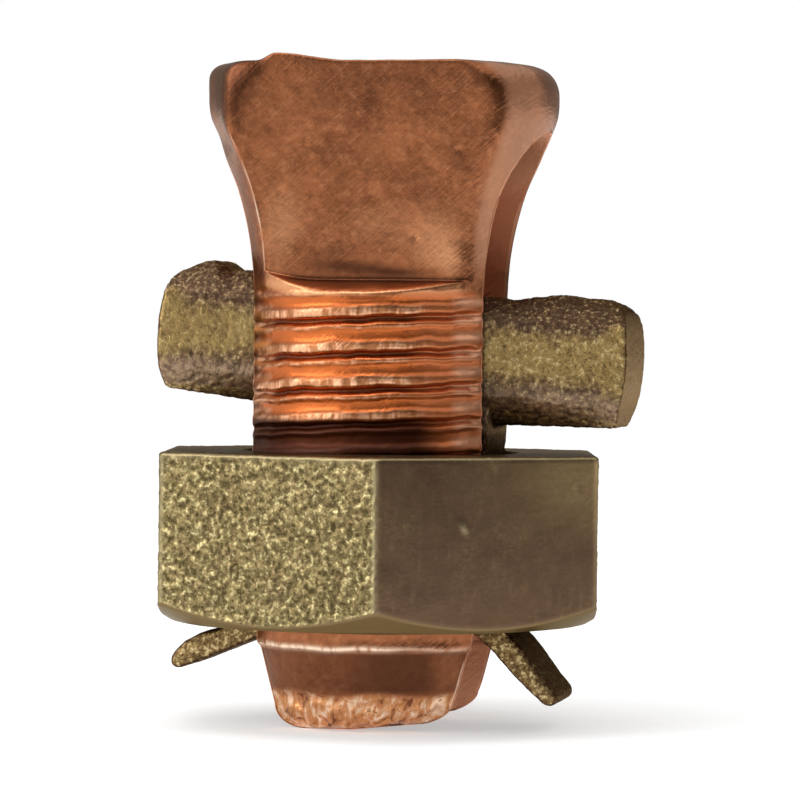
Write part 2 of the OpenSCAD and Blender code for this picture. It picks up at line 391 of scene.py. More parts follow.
# A patch on the front flat: its middle across and up, its half width and half height in mm, and how dark it
# is. Where that is below zero, it is lighter. The two darkest, along the flats' foot, are painted shade in
# the crease there
flat_patches = [
    (0.2, 23.5, 0.35, 1.0, 0.2), (-2.4, 23.0, 1.7, 1.3, 0.15), (1.6, 22.6, 1.5, 1.0, 0.1),
    (-0.6, 16.98, 1.6, 0.28, 0.9), (1.4, 16.78, 1.3, 0.2, 0.9), (-2.0, 17.5, 0.7, 0.5, 0.4),
    (2.7, 17.7, 0.9, 1.3, -0.6), (0.6, 18.6, 1.2, 0.8, -0.25), (-3.0, 18.4, 0.8, 1.5, -0.5),
    (3.2, 17.3, 0.4, 0.7, -0.4),
]
tarnish = on_front * sum(
    amount * hump(x, cx * mm, wide * mm) * hump(z, cz * mm, tall * mm)
    for cx, cz, wide, tall, amount in flat_patches
)
# Painted shade on the left flank beside the flats, down to their foot
past_left_edge = ramp(-x, flat_edge + 0.03 * mm, flat_edge + 0.15 * mm) * ramp(z, 23.2 * mm, 22 * mm)
tarnish += 0.55 * past_left_edge * ramp(z, flats_z - 0.3 * mm, flats_z + 0.2 * mm) * on_front
# Painted shade along the flats' top edge, less at the lip, so that its round catches less light
near_flat_top = ramp(z, bolt_top - 0.25 * mm, bolt_top - 0.08 * mm) * ramp(np.abs(y), 3.3 * mm, 3.7 * mm)
tarnish += 0.4 * near_flat_top * (1 - 0.9 * on_front * hump(x, -2.9 * mm, 0.9 * mm))
# Painted shade on the corners that fall back, and on the thread where it turns away on the left
tarnish += corner_shade * (0.22 + 0.68 * ramp(x, 0, -4 * mm))
tarnish += threaded * (0.35 * ramp(x, -2.2 * mm, -3.0 * mm) + 0.55 * ramp(x, -3.7 * mm, -4.2 * mm))
# A darker band on the legs between the broken end and the rolled lip: partly tarnish and partly painted
# reflection of the shaded floor under the nut, less at the right
leg_band = ramp(z, 1.3 * mm, 1.6 * mm) * ramp(z, lip_z - 0.06 * mm, lip_z - 0.16 * mm)
tarnish += leg_band * (0.7 + 0.3 * ramp(x, -1.5 * mm, 1.5 * mm) - 0.4 * ramp(x, 2.4 * mm, 3.2 * mm))
# Painted highlight on the shelf under the flats, which faces up, most on the left
above_foot = z - flat_foot(x)
on_shelf = ramp(above_foot, -shelf_h - 0.1 * mm, 0.1 * mm - shelf_h)
on_shelf *= ramp(above_foot, -0.02 * mm, -0.1 * mm) * ramp(np.abs(y), 3.35 * mm, 3.5 * mm)
tarnish -= on_shelf * (0.5 + 0.6 * ramp(x, 2.5 * mm, -0.5 * mm))
# Painted highlight on the legs' right edges by the slot, near their ends
slot_edge_glint = hump(np.abs(y), slot_half + 0.07 * mm, 0.09 * mm) * ramp(x, 2.8 * mm, 3.4 * mm)
slot_edge_glint *= ramp(z, 0.5 * mm, 0.9 * mm) * ramp(z, 3 * mm, 2.4 * mm) * (1 - in_slot)
store(bolt, "burr", burr + slot_edge_glint)
# Painted shade in the crease at the flats' foot
shelf_foot = hump(above_foot, 0.03 * mm, 0.08 * mm) * ramp(np.abs(y), 3.2 * mm, 3.33 * mm)
tarnish += 1.3 * shelf_foot * ramp(x, -3.4 * mm, -2.2 * mm)
# Painted shade just under the nut, above the legs' rolled lip
under_nut = ramp(z, lip_z + 0.06 * mm, lip_z + 0.14 * mm) * ramp(z, 4.4 * mm, 4.1 * mm) * outside
tarnish += 0.12 * under_nut
store(bolt, "tarnish", tarnish)
# Painted pale reflection on the ears beside the flats, greyer, most on the right
off_flat = ramp(np.abs(y), flat_here - 0.1 * mm, flat_here - 0.6 * mm) * (1 - in_slot)
right_ear = ramp(x, 3.4 * mm, 4.2 * mm) * ramp(z, 16.3 * mm, 17.5 * mm)
left_ear = ramp(-x, 4.4 * mm, 5 * mm) * ramp(z, 20 * mm, 21.5 * mm)
store(bolt, "ear", off_flat * (right_ear + 0.8 * left_ear))


def add_node(tree, kind, sockets=None, out=0, **settings):
    """Adds a node with these properties, and with values or links on its sockets by name or number.
    Gives back one of its outputs, by name or number."""
    node = tree.nodes.new(kind)
    for name, value in settings.items():
        setattr(node, name, value)
    for key, value in (sockets or {}).items():
        if isinstance(value, bpy.types.NodeSocket):
            tree.links.new(value, node.inputs[key])
        else:
            node.inputs[key].default_value = value
    return node.outputs[out] if node.outputs else None


def tree_with_inputs(name, sizes):
    """A geometry node tree with a Geometry input, these named sizes and a Material, and its input node."""
    tree = bpy.data.node_groups.new(name, "GeometryNodeTree")
    tree.interface.new_socket("Geometry", in_out="INPUT", socket_type="NodeSocketGeometry")
    for size in sizes:
        tree.interface.new_socket(size, in_out="INPUT", socket_type="NodeSocketFloat")
    tree.interface.new_socket("Material", in_out="INPUT", socket_type="NodeSocketMaterial")
    tree.interface.new_socket("Geometry", in_out="OUTPUT", socket_type="NodeSocketGeometry")
    return tree, tree.nodes.new("NodeGroupInput").outputs


def end_tree(tree, given, geometry):
    """Ends a tree: real geometry, with the material that the tree was given."""
    real = add_node(tree, "GeometryNodeRealizeInstances", {"Geometry": geometry})
    dressed = add_node(tree, "GeometryNodeSetMaterial", {"Geometry": real, "Material": given["Material"]})
    add_node(tree, "NodeGroupOutput", {"Geometry": dressed})


def keep_shape(piece):
    """Makes what the piece's modifiers give its plain mesh, and takes the modifiers off."""
    graph = bpy.context.evaluated_depsgraph_get()
    made = bpy.data.meshes.new_from_object(piece.evaluated_get(graph))
    piece.modifiers.clear()
    piece.data = made


def shape_with(piece, tree, values):
    """Runs a tree on a piece with these inputs, and keeps the result as the piece's plain mesh."""
    modifier = piece.modifiers.new(tree.name, "NODES")
    modifier.node_group = tree
    for item in tree.interface.items_tree:
        if item.in_out == "INPUT" and item.name in values:
            modifier[item.identifier] = values[item.name]
    keep_shape(piece)


# Right-hand thread: a narrow root, a broad lip above it, a thin lip below it and a hollow between.
# The root's phase and the wobble's depth are in pitches, the other sizes are lengths
rolled_thread, given = tree_with_inputs("rolled_thread", [
    "Pitch", "Root Depth", "Root Phase", "Wobble Size", "Wobble Depth", "Bead Size", "Bead Depth",
    "Uneven Size", "Uneven Depth", "Hammer Size", "Hammer Depth",
])
tree = rolled_thread
place = add_node(tree, "GeometryNodeInputPosition")
xyz = add_node(tree, "ShaderNodeSeparateXYZ", {0: place}).node.outputs
flat_place = add_node(tree, "ShaderNodeCombineXYZ", {"X": xyz[0], "Y": xyz[1]})
outward = add_node(tree, "ShaderNodeVectorMath", {0: flat_place}, operation="NORMALIZE")
angle = add_node(tree, "ShaderNodeMath", {0: xyz[1], 1: xyz[0]}, operation="ARCTAN2")
turns = add_node(tree, "ShaderNodeMath", {0: angle, 1: 2 * math.pi}, operation="DIVIDE")
pitches = add_node(tree, "ShaderNodeMath", {0: xyz[2], 1: given["Pitch"]}, operation="DIVIDE")
low_place = add_node(tree, "ShaderNodeVectorMath", {0: place, 1: (1.0, 1.0, 0.25)}, operation="MULTIPLY")
uneven = {}
for name, vector, middle, detail, rough in [
    ("Wobble", place, 0.5, 1.0, 0.5), ("Bead", low_place, 0.75, 2.0, 0.55),
    ("Uneven", place, 0.75, 2.0, 0.55), ("Hammer", place, 0.7, 2.0, 0.55),
]:
    fineness = add_node(tree, "ShaderNodeMath", {0: 1.0, 1: given[name + " Size"]}, operation="DIVIDE")
    noise = add_node(
        tree, "ShaderNodeTexNoise",
        {"Vector": vector, "Scale": fineness, "Detail": detail, "Roughness": rough},
    )
    below = add_node(tree, "ShaderNodeMath", {0: noise, 1: middle}, operation="SUBTRACT")
    uneven[name] = add_node(
        tree, "ShaderNodeMath", {0: below, 1: given[name + " Depth"]}, operation="MULTIPLY"
    )
helix = add_node(tree, "ShaderNodeMath", {0: pitches, 1: turns}, operation="SUBTRACT")
helix = add_node(tree, "ShaderNodeMath", {0: helix, 1: uneven["Wobble"]}, operation="ADD")
helix = add_node(tree, "ShaderNodeMath", {0: helix, 1: given["Root Phase"]}, operation="SUBTRACT")
phase = add_node(tree, "ShaderNodeMath", {0: helix}, operation="FRACT")
# Round one pitch from root to root: how deep the groove is, and how much is rubbed bare and painted with
# highlight
profile = {}
for name, spots in [
    ("depth", [
        (0.0, 1.0), (0.04, 0.7), (0.09, 0.14), (0.14, 0.0), (0.29, 0.03), (0.37, 0.3), (0.46, 0.5),
        (0.6, 0.5), (0.68, 0.46), (0.73, 0.2), (0.78, 0.14), (0.86, 0.4), (0.94, 0.92), (1.0, 1.0),
    ]),
    ("wear", [
        (0.0, 0.0), (0.07, 0.0), (0.1, 0.8), (0.14, 1.0), (0.27, 0.8), (0.33, 0.1), (0.4, 0.0),
        (0.71, 0.0), (0.75, 0.5), (0.79, 0.55), (0.82, 0.0), (0.9, 0.0), (1.0, 0.0),
    ]),
]:
    curve = add_node(tree, "ShaderNodeFloatCurve", {"Value": phase})
    line = curve.node.mapping.curves[0]
    line.points[0].location = spots[0]
    line.points[1].location = spots[-1]
    for spot in spots[1:-1]:
        line.points.new(*spot)
    curve.node.mapping.update()
    profile[name] = curve
given_mark = {
    name: add_node(tree, "GeometryNodeInputNamedAttribute", {"Name": name}, data_type="FLOAT")
    for name in ("thread", "shine", "hammered")
}
groove = add_node(
    tree, "ShaderNodeMath", {0: profile["depth"], 1: given_mark["thread"]}, operation="MULTIPLY"
)
wear = add_node(
    tree, "ShaderNodeMath", {0: profile["wear"], 1: given_mark["thread"]}, operation="MULTIPLY"
)
wear = add_node(tree, "ShaderNodeMath", {0: wear, 1: given_mark["shine"]}, operation="MULTIPLY")
sunk = add_node(tree, "ShaderNodeMath", {0: groove, 1: given["Root Depth"]}, operation="MULTIPLY")
relief = add_node(
    tree, "ShaderNodeMath", {0: uneven["Hammer"], 1: given_mark["hammered"], 2: uneven["Uneven"]},
    operation="MULTIPLY_ADD",
)
relief = add_node(
    tree, "ShaderNodeMath", {0: uneven["Bead"], 1: wear, 2: relief}, operation="MULTIPLY_ADD"
)
normal = add_node(tree, "GeometryNodeInputNormal")
swelling = add_node(tree, "ShaderNodeVectorMath", {0: normal, "Scale": relief}, operation="SCALE")
sinking = add_node(tree, "ShaderNodeVectorMath", {0: outward, "Scale": sunk}, operation="SCALE")
step = add_node(tree, "ShaderNodeVectorMath", {0: swelling, 1: sinking}, operation="SUBTRACT")
kept = given["Geometry"]
for name, value in [("groove", groove), ("wear", wear)]:
    kept = add_node(
        tree, "GeometryNodeStoreNamedAttribute", {"Geometry": kept, "Name": name, "Value": value},
        data_type="FLOAT", domain="POINT",
    )
moved = add_node(tree, "GeometryNodeSetPosition", {"Geometry": kept, "Offset": step})
end_tree(tree, given, moved)


def linear(code):
    """Linear colour of an sRGB hex code, with alpha 1."""
    parts = [int(code[i:i + 2], 16) / 255 for i in (1, 3, 5)]
    return [c / 12.92 if c <= 0.04045 else ((c + 0.055) / 1.055) ** 2.4 for c in parts] + [1.0]


def new_material(name, sockets):
    """A material whose shader has these values on its sockets, its node tree and its shader."""
    material = bpy.data.materials.new(name)
    material.use_nodes = True
    shader = material.node_tree.nodes["Principled BSDF"]
    for socket, value in sockets.items():
        shader.inputs[socket].default_value = value
    return material, material.node_tree, shader


def paint(tree, shader, colour, layers):
    """Colours a shader in layers. A layer: what it follows, from and to which value, how much at most,
    and its colour, as a hex code or from a node."""
    for value, low, high, most, tint in layers:
        share = add_node(tree, "ShaderNodeMapRange", {0: value, 1: low, 2: high, 4: most})
        tint = linear(tint) if isinstance(tint, str) else tint
        colour = add_node(tree, "ShaderNodeMix", {0: share, 6: colour, 7: tint}, out=2, data_type="RGBA")
    tree.links.new(colour, shader.inputs["Base Color"])


# Cold-forged copper, handled for years: satin brown, mottled with cleaner orange metal, with painted shade
# in the thread's roots and a painted orange glow of copper mirrored in its hollows. Crests and edges are
# pale pink, partly rubbed bare and partly painted highlight. Fine scratches cross it at a slant.
copper, tree, shader = new_material("tarnished_forged_copper", {
    "Metallic": 1.0, "Specular Tint": linear("#ece0d8"), "Coat Weight": 0.2, "Coat Roughness": 0.3,
})
coords = add_node(tree, "ShaderNodeTexCoord", out="Object")
mark = {
    name: add_node(tree, "ShaderNodeAttribute", out="Fac", attribute_name=name)
    for name in (
        "tarnish", "groove", "wear", "cut", "patch", "raw", "leg_lip", "burr", "dull", "soot", "scratched",
        "ear",
    )
}
rising = add_node(
    tree, "ShaderNodeMapping",
    {"Vector": coords, "Rotation": (0.0, math.radians(-42), 0.0), "Scale": (1.6, 1.0, 0.09)},
    vector_type="TEXTURE",
)
upright = add_node(tree, "ShaderNodeMapping", {"Vector": coords, "Scale": (1.0, 1.0, 0.25)})
leaning = add_node(
    tree, "ShaderNodeMapping",
    {"Vector": coords, "Rotation": (0.0, math.radians(12), 0.0), "Scale": (1.0, 1.0, 2.2)},
    vector_type="TEXTURE",
)
# A pattern: what it lies along, its size in mm, its detail, its roughness and how far it is bent
noise = {}
for name, vector, size, detail, rough, bent in [
    ("patch", coords, 2.2, 5.0, 0.62, 0.0),
    ("speck", coords, 0.3, 3.0, 0.6, 0.0),
    ("scratch", rising, 0.9, 3.0, 0.55, 0.25),
    ("bead", upright, 0.36, 2.0, 0.7, 0.0),
    ("hammer", leaning, 0.42, 4.0, 0.6, 0.5),
]:
    noise[name] = add_node(tree, "ShaderNodeTexNoise", {
        "Vector": vector, "Scale": 1 / (size * mm), "Detail": detail, "Roughness": rough, "Distortion": bent,
    })
some_scratches = add_node(
    tree, "ShaderNodeMapRange", {0: noise["patch"], 1: 0.4, 2: 0.56, 4: mark["scratched"]}
)
hollow_glow = add_node(tree, "ShaderNodeMapRange", {0: mark["tarnish"], 1: 0.9, 2: 0.2})
bead_sheen_share = add_node(tree, "ShaderNodeMapRange", {0: noise["patch"], 1: 0.3, 2: 0.5, 4: mark["wear"]})
paint(tree, shader, linear("#8a5233"), [
    (noise["patch"], 0.34, 0.66, 1.0, "#aa6841"),
    (noise["speck"], 0.52, 0.78, 0.55, "#c6865c"),
    (noise["speck"], 0.46, 0.28, 0.45, "#6a3c26"),
    (noise["scratch"], 0.6, 0.74, some_scratches, "#cf9a76"),
    # Stains and painted shade where the mark is above zero; painted highlight and lighter patches where it
    # is below
    (mark["tarnish"], 0.05, 1.0, 0.88, "#45220f"),
    (mark["tarnish"], -0.05, -1.0, 0.9, "#dc9c6e"),
    # Painted pale reflection on the ears
    (mark["ear"], 0.0, 1.0, 0.5, "#b0856a"),
    # Painted orange glow of copper mirrored in the thread's hollows, and painted shade in its roots
    (mark["groove"], 0.08, 0.4, hollow_glow, "#c4662f"),
    (mark["groove"], 0.52, 0.9, 0.88, "#451e0d"),
    (mark["dull"], 0.0, 1.0, 0.7, "#d07a4a"),
    # Pale pink crests, partly rubbed bare and partly painted highlight, with brighter beads
    (mark["wear"], 0.0, 1.0, 0.3, "#e09a64"),
    (noise["bead"], 0.44, 0.6, bead_sheen_share, "#ffc298"),
    # Broken leg ends in bright fresh copper, with painted highlights and painted dark reflections on their
    # facets
    (mark["raw"], 0.0, 1.0, 0.9, "#d4925f"),
    (noise["hammer"], 0.5, 0.68, mark["raw"], "#ffe4c8"),
    (noise["hammer"], 0.47, 0.34, mark["raw"], "#74402a"),
    (noise["bead"], 0.25, 0.5, mark["leg_lip"], "#ffe2c6"),
    (mark["patch"], 0.0, 1.0, 0.9, "#e4aa86"),
    # Painted highlight along the burr and the legs' slot edges
    (mark["burr"], 0.3, 1.0, 0.85, "#ffdcc2"),
    # Painted shade: the dark band on the thread just above the nut
    (mark["soot"], 0.0, 1.0, 0.92, "#341105"),
    (mark["cut"], 0.0, 1.0, 0.9, "#eeb08a"),
])
satin = add_node(tree, "ShaderNodeMapRange", {0: noise["patch"], 1: 0.3, 2: 0.7, 3: 0.24, 4: 0.36})
for share, rough in [(mark["raw"], 0.16), (mark["cut"], 0.62), (mark["dull"], 0.42), (mark["soot"], 0.5)]:
    satin = add_node(tree, "ShaderNodeMix", {0: share, 2: satin, 3: rough}, data_type="FLOAT")
tree.links.new(satin, shader.inputs["Roughness"])
height = add_node(
    tree, "ShaderNodeMath", {0: noise["speck"], 1: 1.5, 2: noise["scratch"]}, operation="MULTIPLY_ADD"
)
bump = add_node(tree, "ShaderNodeBump", {"Height": height, "Strength": 0.5, "Distance": 0.03 * mm})
tree.links.new(bump, shader.inputs["Normal"])

thread_run = {"Pitch": pitch, "Root Phase": 0.125, "Wobble Size": 1.1 * mm, "Wobble Depth": 0.16}
shape_with(bolt, rolled_thread, {
    **thread_run, "Root Depth": 0.25 * mm, "Bead Size": 0.36 * mm, "Bead Depth": 0.12 * mm,
    "Uneven Size": 1.3 * mm, "Uneven Depth": 0.07 * mm,
    "Hammer Size": 0.75 * mm, "Hammer Depth": 0.5 * mm, "Material": copper,
})
move_points(bolt, np.clip(points_of(bolt), np.array(bolt_low), np.array(bolt_high)))
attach(bolt, "bolt")
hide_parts("split_bolt")

# Hexagon nut
# One cast yellow brass nut, flat on top with its corners turned off below. It keeps the coarse grain
# of its mould, which shines where light meets it, and runs on the bolt's thread.
nut_low, nut_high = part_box("hex_nut")
nut_z = nut_low.z
nut_h = nut_high.z - nut_low.z
nut_af = 16 * mm
nut_turn = math.radians(-19)
bore_gap = 0.15 * mm
bore_r = thread_r + bore_gap
sink = 1.1 * mm
face_drop = 0.2 * mm
face_r = nut_af / 2 - face_drop
corner_slope = math.radians(30)
corner_sharpness = 90
corner_soft = 0.05 * mm
edge_round = 0.16 * mm

columns_a_side = 88
corner_steps = 8
flat_steps = 52
edge_steps = 4
top_steps = 27
bore_steps = 41
sink_steps = 8
under_steps = 15
around = np.linspace(0, 2 * math.pi, 6 * columns_a_side + 1)
side_normals = math.radians(30) + np.arange(6) * math.radians(60)
facing = np.clip(np.cos(around[:, None] - side_normals), 0, None)
hexagon = nut_af / 2 / (facing ** corner_sharpness).sum(axis=1) ** (1 / corner_sharpness)
corner_h = (hexagon - face_r) * math.tan(corner_slope)
flat_h = nut_h - edge_round - corner_h
round_turn = np.linspace(0, math.pi / 2, edge_steps + 1)
side_heights = [corner_h * s for s in np.linspace(0, 1, corner_steps + 1)[:-1]]
side_heights += [corner_h + flat_h * s for s in np.linspace(0, 1, flat_steps + 1)[:-1]]
side_heights += [nut_h - edge_round + edge_round * s for s in np.sin(round_turn)]


def nut_side(height):
    """Outside radius of the nut all round at one height: the hexagon, less the corners turned off."""
    cone = face_r + height / math.tan(corner_slope)
    return smooth_min(hexagon, cone, corner_soft) - drawn_in(height, nut_h - edge_round, edge_round)


side_rows = [(nut_side(h), h) for h in side_heights]
top_rows = [
    (nut_side(nut_h) * (1 - s) + bore_r * s, nut_h) for s in np.linspace(0, 1, top_steps + 1)[1:]
]
bore_rows = [(bore_r + 0 * around, h) for h in np.linspace(nut_h, sink, bore_steps + 1)[1:]]
sink_rows = [(bore_r + (sink - h) + 0 * around, h) for h in np.linspace(sink, 0, sink_steps + 1)[1:]]
under_rows = [
    ((bore_r + sink) * (1 - s) + nut_side(0) * s, 0) for s in np.linspace(0, 1, under_steps + 1)[1:]
]
nut_rows = side_rows + top_rows + bore_rows + sink_rows + under_rows
nut_grid = np.stack([
    np.stack([r * np.cos(around + nut_turn), r * np.sin(around + nut_turn), nut_z + h + 0 * r], axis=-1)
    for r, h in nut_rows
])
nut = piece_from_grids("nut", [nut_grid])

x, y, z = points_of(nut).T
from_axis = np.hypot(x, y)
in_bore = ramp(from_axis, bore_r + 0.02 * mm, bore_r + 0.01 * mm)
bore_thread = in_bore * ramp(z, nut_z + sink, nut_z + sink + 0.2 * mm)
bore_thread *= ramp(z, nut_z + nut_h, nut_z + nut_h - 0.3 * mm)
store(nut, "thread", -bore_thread)
side_angle = (np.arctan2(y, x) - nut_turn - side_normals[0]) / math.radians(60)
side_number = np.round(side_angle).astype(int) % 6
along_side = side_angle - np.round(side_angle)
# The six sides from the right one round by the back: the front left one is the grainiest and painted palest,
# as lit, and the front right one is smooth and painted darkest, as shaded
side_grain = np.array([0.5, 0.7, 0.9, 0.6, 1.0, 0.03])[side_number]
side_light = np.array([0.5, 0.7, 0.85, 0.55, 1.0, 0.0])[side_number]
side_edge = np.array([0.6, 0.6, 0.6, 0.6, 1.0, 0.25])[side_number]
on_top = ramp(z, nut_z + nut_h - 0.25 * mm, nut_z + nut_h - 0.05 * mm)
below_cone = face_r + (z - nut_z) / math.tan(corner_slope) - from_axis
turned = ramp(below_cone, 0.14 * mm, 0.05 * mm) * (1 - in_bore)
underneath = ramp(z, nut_z + 0.05 * mm, nut_z + 0.01 * mm)
plain = (1 - 0.7 * on_top) * (1 - 0.85 * turned) * (1 - 0.8 * underneath) * (1 - in_bore)
store(nut, "grain", side_grain * plain)
# Edges, corners and a nick, paler: partly rubbed and partly painted highlight, most on the front left side
near_corner = ramp(np.abs(along_side), 0.475, 0.5) * side_edge * (1 - on_top) * (1 - turned)
top_edge = hump(z, nut_z + nut_h - 0.06 * mm, 0.09 * mm) * ramp(from_axis, 7.6 * mm, 7.8 * mm)
cone_edge = hump(below_cone, 0.11 * mm, 0.06 * mm) * ramp(from_axis, 7.8 * mm, 7.95 * mm)
nick_z = 7.7 * mm
nick_h = 0.03 * mm
nick = hump(x + 0.4 * (z - nick_z), 4.45 * mm, 0.08 * mm) * hump(z, nick_z, 0.2 * mm) * (y < -5 * mm)
edge = near_corner + 0.5 * top_edge + 0.6 * cone_edge * side_edge + nick
store(nut, "edge", np.clip(edge, 0, 1) * (1 - in_bore))
store(nut, "clean", side_light * (1 - on_top) * (1 - turned) + 0.3 * on_top)
store(nut, "turned", turned * ramp(from_axis, 7.2 * mm, 7.6 * mm))
# Painted sheen: the front right side grows paler towards its right and top; the other sides are a little
# worn paler all over
right_top = ramp(along_side, -0.1, 0.45) * ramp(z, nut_z + 2.5 * mm, nut_z + nut_h)
store(nut, "worn", np.where(side_number == 5, right_top, 0.3) * (1 - on_top) * (1 - turned))
x += nick_h * nick
y -= nick_h * nick
move_points(nut, np.stack([x, y, z], axis=-1))

# Cast grain: pits between the grains, over a slow swell
cast_grain, given = tree_with_inputs(
    "cast_grain", ["Grain Size", "Grain Depth", "Swell Size", "Swell Depth"]
)
tree = cast_grain
place = add_node(tree, "GeometryNodeInputPosition")
noise = {}
for name, detail, rough in [("Grain", 3.0, 0.6), ("Swell", 2.0, 0.5)]:
    fineness = add_node(tree, "ShaderNodeMath", {0: 1.0, 1: given[name + " Size"]}, operation="DIVIDE")
    noise[name] = add_node(
        tree, "ShaderNodeTexNoise",
        {"Vector": place, "Scale": fineness, "Detail": detail, "Roughness": rough},
    )
grain_height = add_node(tree, "ShaderNodeMapRange", {"Value": noise["Grain"], 1: 0.3, 2: 0.68})
weight = add_node(tree, "GeometryNodeInputNamedAttribute", {"Name": "grain"}, data_type="FLOAT")
pit = add_node(tree, "ShaderNodeMath", {0: grain_height, 1: 1.0}, operation="SUBTRACT")
pit = add_node(tree, "ShaderNodeMath", {0: pit, 1: weight}, operation="MULTIPLY")
swell = add_node(tree, "ShaderNodeMath", {0: noise["Swell"], 1: 0.75}, operation="SUBTRACT")
swell = add_node(tree, "ShaderNodeMath", {0: swell, 1: given["Swell Depth"]}, operation="MULTIPLY")
offset = add_node(
    tree, "ShaderNodeMath", {0: pit, 1: given["Grain Depth"], 2: swell}, operation="MULTIPLY_ADD"
)
normal = add_node(tree, "GeometryNodeInputNormal")
step = add_node(tree, "ShaderNodeVectorMath", {0: normal, "Scale": offset}, operation="SCALE")
kept = add_node(
    tree, "GeometryNodeStoreNamedAttribute",
    {"Geometry": given["Geometry"], "Name": "pit", "Value": pit},
    data_type="FLOAT", domain="POINT",
)
moved = add_node(tree, "GeometryNodeSetPosition", {"Geometry": kept, "Offset": step})
end_tree(tree, given, moved)

# Sand-cast yellow brass: olive gold with painted bright grain glints and dark pits on the sides painted as
# lit, and brown with faint upright streaks where painted as shaded. Edges and corners are paler, partly
# rubbed and partly painted highlight, and the front right side has a painted sheen towards its top right.
brass, tree, shader = new_material(
    "cast_yellow_brass", {"Metallic": 1.0, "Specular Tint": linear("#ccc4b6")}
)
coords = add_node(tree, "ShaderNodeTexCoord", out="Object")
mark = {
    name: add_node(tree, "ShaderNodeAttribute", out="Fac", attribute_name=name)
    for name in ("clean", "edge", "pit", "turned", "worn")
}
upright = add_node(tree, "ShaderNodeMapping", {"Vector": coords, "Scale": (1.0, 1.0, 0.3)})
noise = {}
for name, vector, size, detail in [
    ("cloud", coords, 2.4, 4.0), ("upright", upright, 0.3, 3.0), ("fine", coords, 0.19, 3.0),
    ("blush", coords, 0.6, 3.0),
]:
    noise[name] = add_node(tree, "ShaderNodeTexNoise", {
        "Vector": vector, "Scale": 1 / (size * mm), "Detail": detail, "Roughness": 0.6,
    })
uneven_side_light = add_node(tree, "ShaderNodeMapRange", {0: noise["cloud"], 1: 0.3, 2: 0.7, 3: -0.15, 4: 0.15})
clean = add_node(
    tree, "ShaderNodeMath", {0: uneven_side_light, 1: mark["clean"]}, operation="ADD", use_clamp=True
)
paint(tree, shader, linear("#745c48"), [
    (clean, 0.0, 1.0, 1.0, "#867850"),
    (mark["worn"], 0.0, 1.0, 0.85, "#a18a61"),
    (noise["upright"], 0.52, 0.72, 0.3, "#927b5e"),
    (noise["blush"], 0.52, 0.7, 0.4, "#7e6248"),
    # Dark pits and bright grain glints, painted most on the side painted as lit
    (noise["fine"], 0.5, 0.36, clean, "#4a4028"),
    (mark["pit"], -0.25, -0.8, 0.75, "#4e442b"),
    (noise["fine"], 0.55, 0.69, clean, "#cfc08c"),
    (mark["turned"], 0.0, 1.0, 0.95, "#806c4a"),
    (mark["edge"], 0.0, 1.0, 0.7, "#c2b68a"),
])
sheen = add_node(tree, "ShaderNodeMapRange", {0: noise["cloud"], 1: 0.3, 2: 0.7, 3: 0.28, 4: 0.4})
tree.links.new(sheen, shader.inputs["Roughness"])
bump_depth = add_node(tree, "ShaderNodeMapRange", {0: clean, 3: 0.1, 4: 0.7})
bump = add_node(
    tree, "ShaderNodeBump", {"Height": noise["fine"], "Strength": bump_depth, "Distance": 0.05 * mm}
)
tree.links.new(bump, shader.inputs["Normal"])

shape_with(nut, rolled_thread, {**thread_run, "Root Depth": 0.35 * mm, "Material": brass})
shape_with(nut, cast_grain, {
    "Grain Size": 0.27 * mm, "Grain Depth": 0.1 * mm,
    "Swell Size": 3 * mm, "Swell Depth": 0.06 * mm, "Material": brass,
})
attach(nut, "nut")
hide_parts("hex_nut")

# Pressure bar
# One cast bronze bar with two prongs that hang through the nut and are splayed under it. The slot has rubbed
# its sides smooth and yellow along the middle, and the rest is grainy from the mould and dark, partly with
# painted shade.
bar_voxel = 0.085 * mm
bar_lean = math.radians(4.3)
bar_axis_z = 10.15 * mm
weld = 1e-6
edge_passes = 6
prong_passes = 30
prong_drop = 0.3 * mm
# The shape starts from a copy of its CAD solid, without the frame's marks on it, with even faces and
# the soft edges of a casting
bar = frame["nodes"]["pressure_bar"].copy()
bar.data = bar.data.copy()
bar.name = "bar"
bar.parent = None
for key in list(bar.keys()):
    del bar[key]
bpy.context.scene.collection.objects.link(bar)
shape = bmesh.new()
shape.from_mesh(bar.data)
bmesh.ops.remove_doubles(shape, verts=shape.verts, dist=weld)
shape.to_mesh(bar.data)
shape.free()
bar.data.materials.clear()
remesh = bar.modifiers.new("even_faces", "REMESH")
remesh.mode = "VOXEL"
remesh.voxel_size = bar_voxel
soften = bar.modifiers.new("soft_edges", "SMOOTH")
soften.factor = 0.5
soften.iterations = edge_passes
keep_shape(bar)
bar.data.shade_smooth()
heights = points_of(bar)[:, 2]
prongs = bar.vertex_groups.new(name="prongs")
prongs.add(np.flatnonzero(heights < nut_z - prong_drop).tolist(), 1.0, "REPLACE")
rounding = bar.modifiers.new("round_prongs", "SMOOTH")
rounding.vertex_group = "prongs"
rounding.factor = 0.5
rounding.iterations = prong_passes
keep_shape(bar)
bar.vertex_groups.clear()


def normals_of(piece):
    """The directions that the piece's points face, as an array of rows x, y, z."""
    normals = np.empty(len(piece.data.vertices) * 3)
    piece.data.vertex_normals.foreach_get("vector", normals)
    return normals.reshape(-1, 3)


